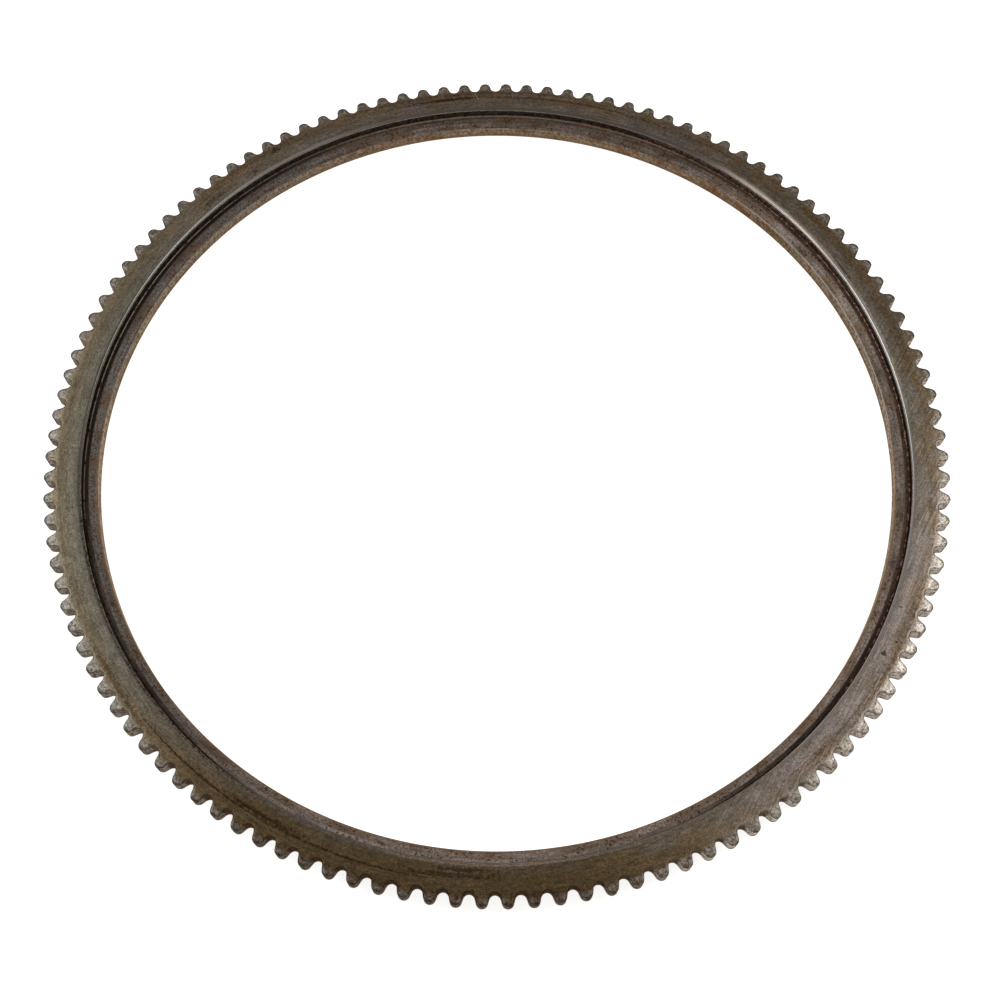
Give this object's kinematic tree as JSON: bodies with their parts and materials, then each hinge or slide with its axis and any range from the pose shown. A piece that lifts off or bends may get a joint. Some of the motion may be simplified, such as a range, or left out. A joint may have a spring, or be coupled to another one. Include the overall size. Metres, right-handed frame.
{
  "type": "wheel speed sensor tone ring",
  "caption": "Steel tone ring for a wheel speed sensor: 120 rounded teeth round a flat rim, a counterbore with a narrow seat on top, a sloping lead-in and a plain bore below.",
  "frame": {"origin": "on the ring's axis, in the plane of the flat face that it lies on", "axes": "+Z along the axis, towards the toothed rim and the open counterbore; a tooth is centred on +X"},
  "size_m": [0.21, 0.21, 0.0069],
  "materials": {
    "bare_steel": "turned and ground, unplated, dull, with light rust stains"
  },
  "bodies": {
    "root": {"tone_ring": "bare_steel"}
  },
  "joints": []
}
